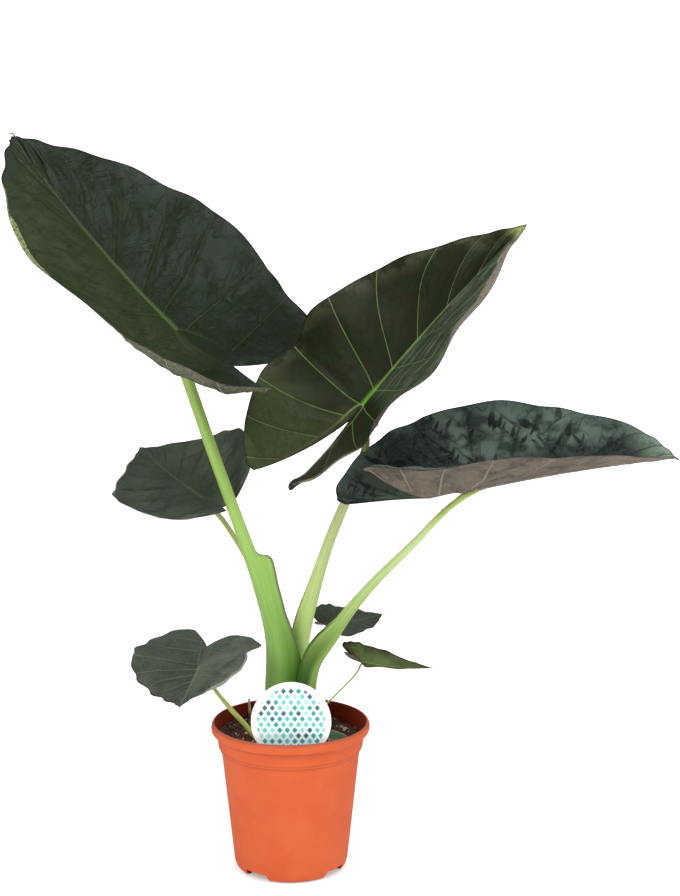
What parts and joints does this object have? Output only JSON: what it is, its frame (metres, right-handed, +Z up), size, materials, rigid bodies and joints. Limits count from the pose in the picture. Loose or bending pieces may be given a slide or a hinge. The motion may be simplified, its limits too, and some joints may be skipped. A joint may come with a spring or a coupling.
{
  "type": "potted regal shields alocasia",
  "caption": "Potted aroid house plant: large dark shield-shaped leaves on upright green stalks, standing in soil in a tapered nursery pot with a round plant label.",
  "frame": {"origin": "centre of the pot's flat foot, on the surface that the pot stands on", "axes": "+Z up along the pot's axis; -Y is the front, where the label stands; +X to the right seen from the front"},
  "size_m": [0.8891, 0.4236, 0.985],
  "materials": {
    "pot": "satin",
    "soil": "matte",
    "label": "satin",
    "dry_sheath": "matte",
    "leaf": "satin",
    "stalk": "satin"
  },
  "bodies": {
    "root": {"pot": "pot", "soil": "soil", "label": "label", "dry_strip": "dry_sheath", "blade_a": "leaf", "blade_b": "leaf", "blade_c": "leaf", "blade_d": "leaf", "blade_e": "leaf", "blade_f": "leaf", "blade_g": "leaf", "blade_h": "leaf", "stem_a": "stalk", "stem_b": "stalk", "stem_c": "stalk", "stem_d": "stalk", "stem_e": "stalk", "stem_f": "stalk", "stem_g": "stalk"}
  },
  "joints": []
}
